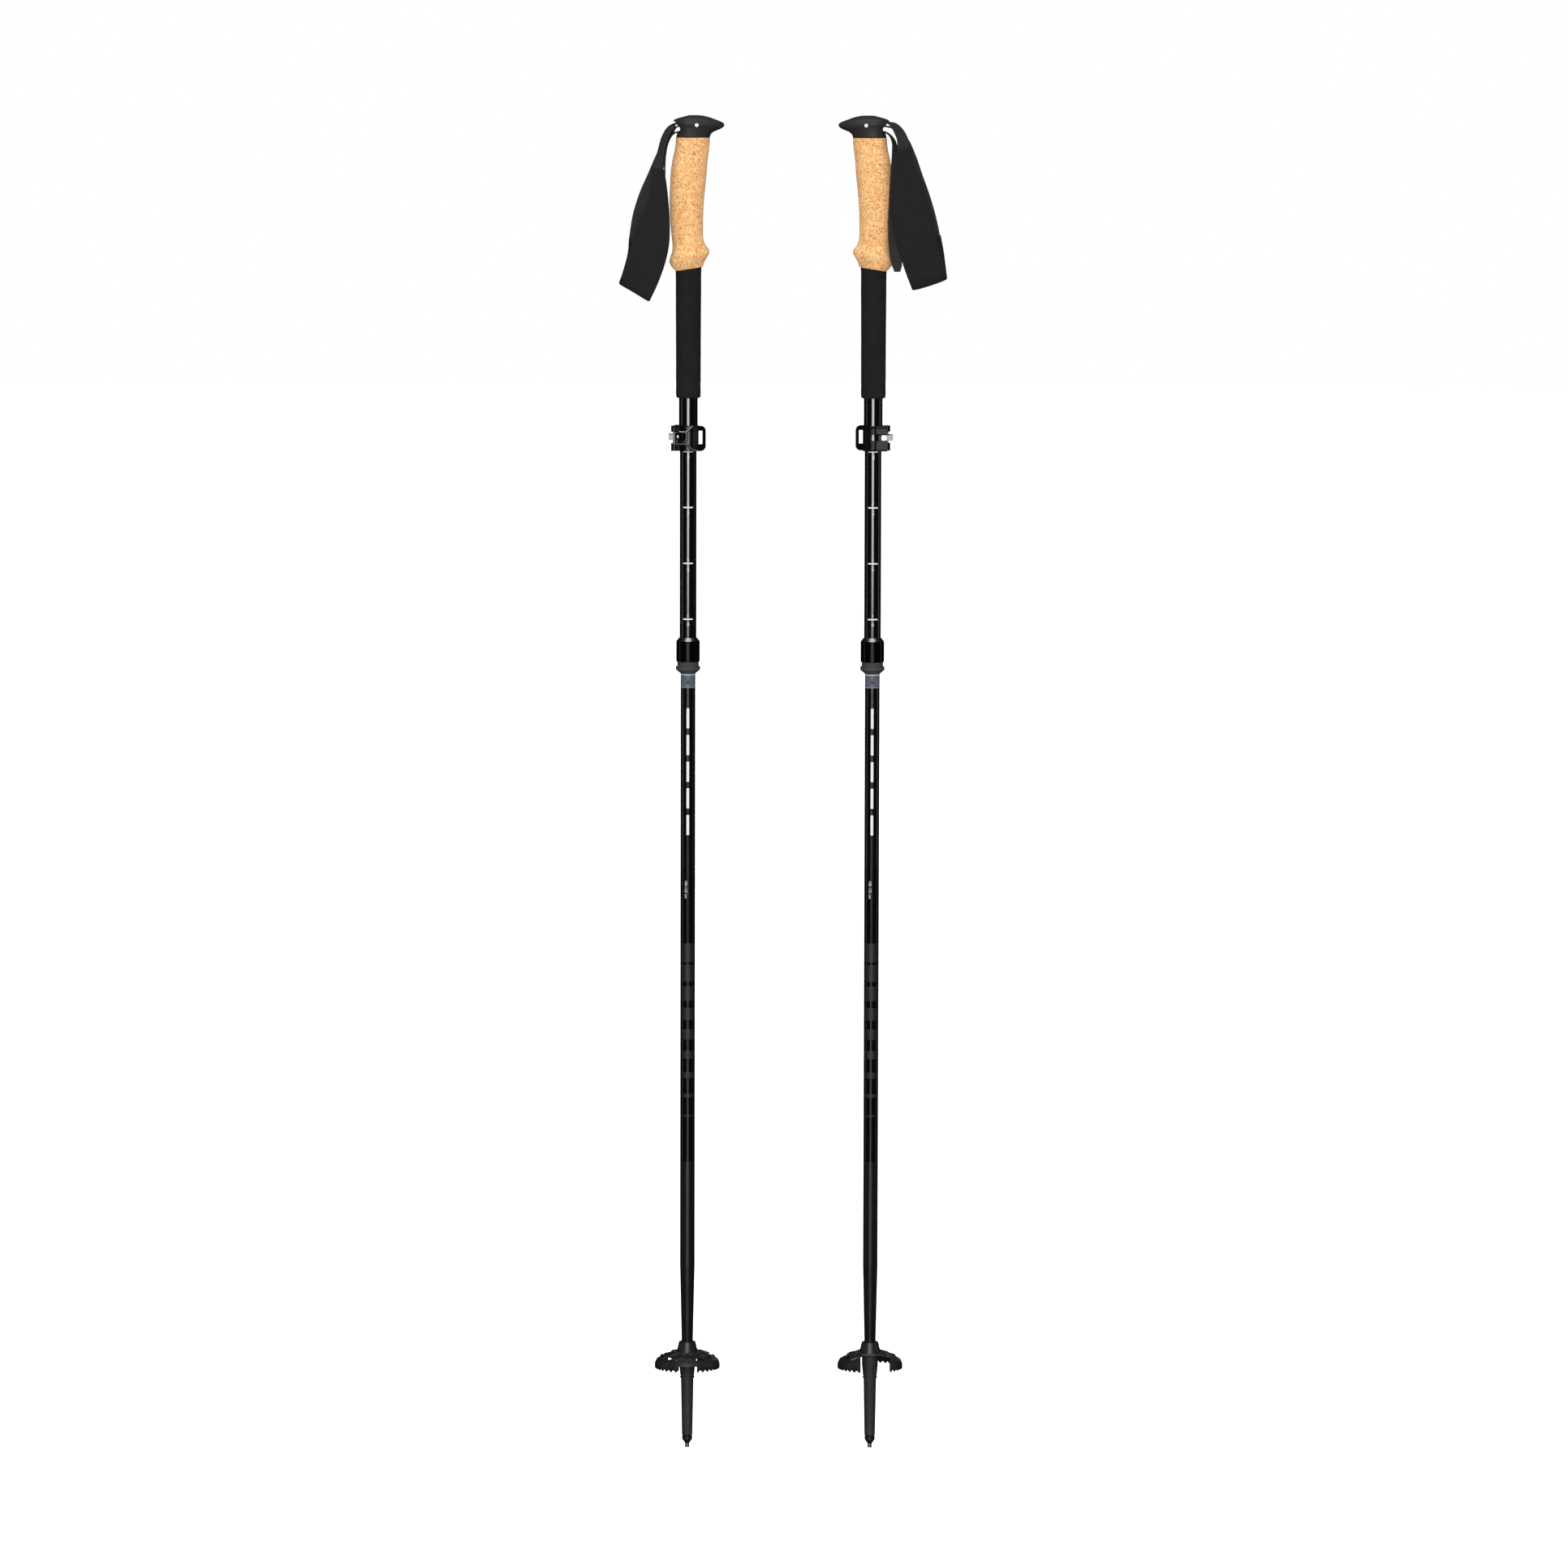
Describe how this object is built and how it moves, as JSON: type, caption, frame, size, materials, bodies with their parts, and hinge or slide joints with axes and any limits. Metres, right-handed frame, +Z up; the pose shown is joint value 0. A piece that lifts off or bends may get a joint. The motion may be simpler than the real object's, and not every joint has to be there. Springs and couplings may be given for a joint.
{
  "type": "folding trekking poles",
  "caption": "Pair of folding, length-adjustable trekking poles with cork grips, wrist straps, lever locks, snow baskets and hard tips, standing upright.",
  "frame": {"origin": "on the ground, midway between the two tips", "axes": "+Z up along both poles, +X from the left pole to the right pole; the left grip's beak points to +X and the right grip's to -X"},
  "size_m": [0.294, 0.0578, 1.2],
  "materials": {
    "grip_rubber": "matte moulded rubber",
    "bright_steel": "bright steel",
    "webbing": "ribbed woven webbing",
    "cork": "sanded natural cork",
    "foam": "matte closed-cell foam",
    "gloss_tube": "gloss black paint on aluminium tube",
    "banded_tube": "gloss black with matte bands",
    "satin_tube": "satin black",
    "lock_plastic": "glossy moulded plastic",
    "cast_steel": "cast steel, satin",
    "bright_ring": "turned aluminium",
    "gloss_black": "gloss black",
    "collar_plastic": "rough moulded plastic",
    "inner_plastic": "plain moulded plastic",
    "ferrule_metal": "drawn aluminium",
    "cord": "braided cord",
    "basket_plastic": "semi-gloss moulded plastic",
    "tip_plastic": "matte moulded plastic",
    "seat_plastic": "dark moulded plastic",
    "carbide": "tungsten carbide, worn",
    "pad_fabric": "twill fabric over thin padding"
  },
  "bodies": {
    "left_grip_section": {"left_head": "grip_rubber", "left_strap_pin": "bright_steel", "left_strap_anchor": "webbing", "left_cork_grip": "cork", "left_foam_sleeve": "foam", "left_upper_shaft": "gloss_tube", "left_clamp_body": "lock_plastic", "left_lever_pin": "bright_steel", "left_tension_link": "cast_steel"},
    "left_strap": {"left_strap_webbing": "webbing", "left_strap_pad": "pad_fabric"},
    "left_lever": {"left_lever": "lock_plastic"},
    "left_screw": {"left_tension_screw": "bright_steel"},
    "left_scale_section": {"left_scale_shaft": "gloss_tube", "left_cord_cap": "inner_plastic", "left_coupler_ring": "bright_ring", "left_coupler_body": "gloss_black", "left_lock_ring": "bright_steel", "left_collar_spring": "bright_steel", "left_tension_cord": "cord"},
    "left_collar": {"left_slide_collar": "collar_plastic"},
    "left_fold_section": {"left_fold_shaft": "gloss_tube"},
    "left_middle_section": {"left_middle_shaft": "banded_tube", "left_ferrule_1": "ferrule_metal"},
    "left_lower_section": {"left_lower_shaft": "satin_tube", "left_ferrule_2": "ferrule_metal", "left_tip_holder": "tip_plastic", "left_tip_seat": "seat_plastic", "left_hard_tip": "carbide"},
    "left_basket": {"left_basket": "basket_plastic"},
    "right_grip_section": {"right_head": "grip_rubber", "right_strap_pin": "bright_steel", "right_strap_anchor": "webbing", "right_cork_grip": "cork", "right_foam_sleeve": "foam", "right_upper_shaft": "gloss_tube", "right_clamp_body": "lock_plastic", "right_lever_pin": "bright_steel", "right_tension_link": "cast_steel"},
    "right_strap": {"right_strap_webbing": "webbing", "right_strap_pad": "pad_fabric"},
    "right_lever": {"right_lever": "lock_plastic"},
    "right_screw": {"right_tension_screw": "bright_steel"},
    "right_scale_section": {"right_scale_shaft": "gloss_tube", "right_cord_cap": "inner_plastic", "right_coupler_ring": "bright_ring", "right_coupler_body": "gloss_black", "right_lock_ring": "bright_steel", "right_collar_spring": "bright_steel", "right_tension_cord": "cord"},
    "right_collar": {"right_slide_collar": "collar_plastic"},
    "right_fold_section": {"right_fold_shaft": "gloss_tube"},
    "right_middle_section": {"right_middle_shaft": "banded_tube", "right_ferrule_1": "ferrule_metal"},
    "right_lower_section": {"right_lower_shaft": "satin_tube", "right_ferrule_2": "ferrule_metal", "right_tip_holder": "tip_plastic", "right_tip_seat": "seat_plastic", "right_hard_tip": "carbide"},
    "right_basket": {"right_basket": "basket_plastic"}
  },
  "joints": [
    {"name": "left_length_adjust", "type": "slide", "parent": "left_grip_section", "child": "left_scale_section", "axis": [0, 0, -1], "range_m": [-0.15, 0.05]},
    {"name": "left_lever_open", "type": "hinge", "parent": "left_grip_section", "child": "left_lever", "pos_m": [-0.0951, -0.0055, 0.9128], "axis": [0, 0, -1], "range_deg": [0, 110]},
    {"name": "left_screw_turn", "type": "hinge", "parent": "left_grip_section", "child": "left_screw", "pos_m": [-0.0921, 0.01, 0.9137], "axis": [0, 1, 0], "range_deg": [-180, 180]},
    {"name": "left_strap_swing", "type": "hinge", "parent": "left_grip_section", "child": "left_strap", "pos_m": [-0.0968, 0, 1.1912], "axis": [0, 1, 0], "range_deg": [0, 80]},
    {"name": "left_collar_lift", "type": "slide", "parent": "left_scale_section", "child": "left_collar", "axis": [0, 0, 1], "range_m": [0, 0.004], "stiffness_N_per_m": 1500, "springref_m": -0.003, "deforming": ["left_collar_spring"]},
    {"name": "left_fold_collapse", "type": "slide", "parent": "left_scale_section", "child": "left_fold_section", "axis": [0, 0, 1], "range_m": [0, 0.122]},
    {"name": "left_upper_joint_pull", "type": "slide", "parent": "left_fold_section", "child": "left_middle_section", "axis": [0, 0, -1], "range_m": [0, 0.05]},
    {"name": "left_lower_joint_pull", "type": "slide", "parent": "left_middle_section", "child": "left_lower_section", "axis": [0, 0, -1], "range_m": [0, 0.05]},
    {"name": "left_basket_turn", "type": "hinge", "parent": "left_lower_section", "child": "left_basket", "pos_m": [-0.0825, 0, 0.09], "axis": [0, 0, 1], "continuous": true},
    {"name": "pair_spacing", "type": "slide", "parent": "left_grip_section", "child": "right_grip_section", "axis": [1, 0, 0], "range_m": [-0.06, 0.3]},
    {"name": "right_length_adjust", "type": "slide", "parent": "right_grip_section", "child": "right_scale_section", "axis": [0, 0, -1], "range_m": [-0.15, 0.05]},
    {"name": "right_lever_open", "type": "hinge", "parent": "right_grip_section", "child": "right_lever", "pos_m": [0.0951, 0.0055, 0.9128], "axis": [0, 0, -1], "range_deg": [0, 110]},
    {"name": "right_screw_turn", "type": "hinge", "parent": "right_grip_section", "child": "right_screw", "pos_m": [0.0921, -0.01, 0.9137], "axis": [0, -1, 0], "range_deg": [-180, 180]},
    {"name": "right_strap_swing", "type": "hinge", "parent": "right_grip_section", "child": "right_strap", "pos_m": [0.0968, 0, 1.1912], "axis": [0, -1, 0], "range_deg": [0, 80]},
    {"name": "right_collar_lift", "type": "slide", "parent": "right_scale_section", "child": "right_collar", "axis": [0, 0, 1], "range_m": [0, 0.004], "stiffness_N_per_m": 1500, "springref_m": -0.003, "deforming": ["right_collar_spring"]},
    {"name": "right_fold_collapse", "type": "slide", "parent": "right_scale_section", "child": "right_fold_section", "axis": [0, 0, 1], "range_m": [0, 0.122]},
    {"name": "right_upper_joint_pull", "type": "slide", "parent": "right_fold_section", "child": "right_middle_section", "axis": [0, 0, -1], "range_m": [0, 0.05]},
    {"name": "right_lower_joint_pull", "type": "slide", "parent": "right_middle_section", "child": "right_lower_section", "axis": [0, 0, -1], "range_m": [0, 0.05]},
    {"name": "right_basket_turn", "type": "hinge", "parent": "right_lower_section", "child": "right_basket", "pos_m": [0.0825, 0, 0.09], "axis": [0, 0, 1], "continuous": true}
  ]
}
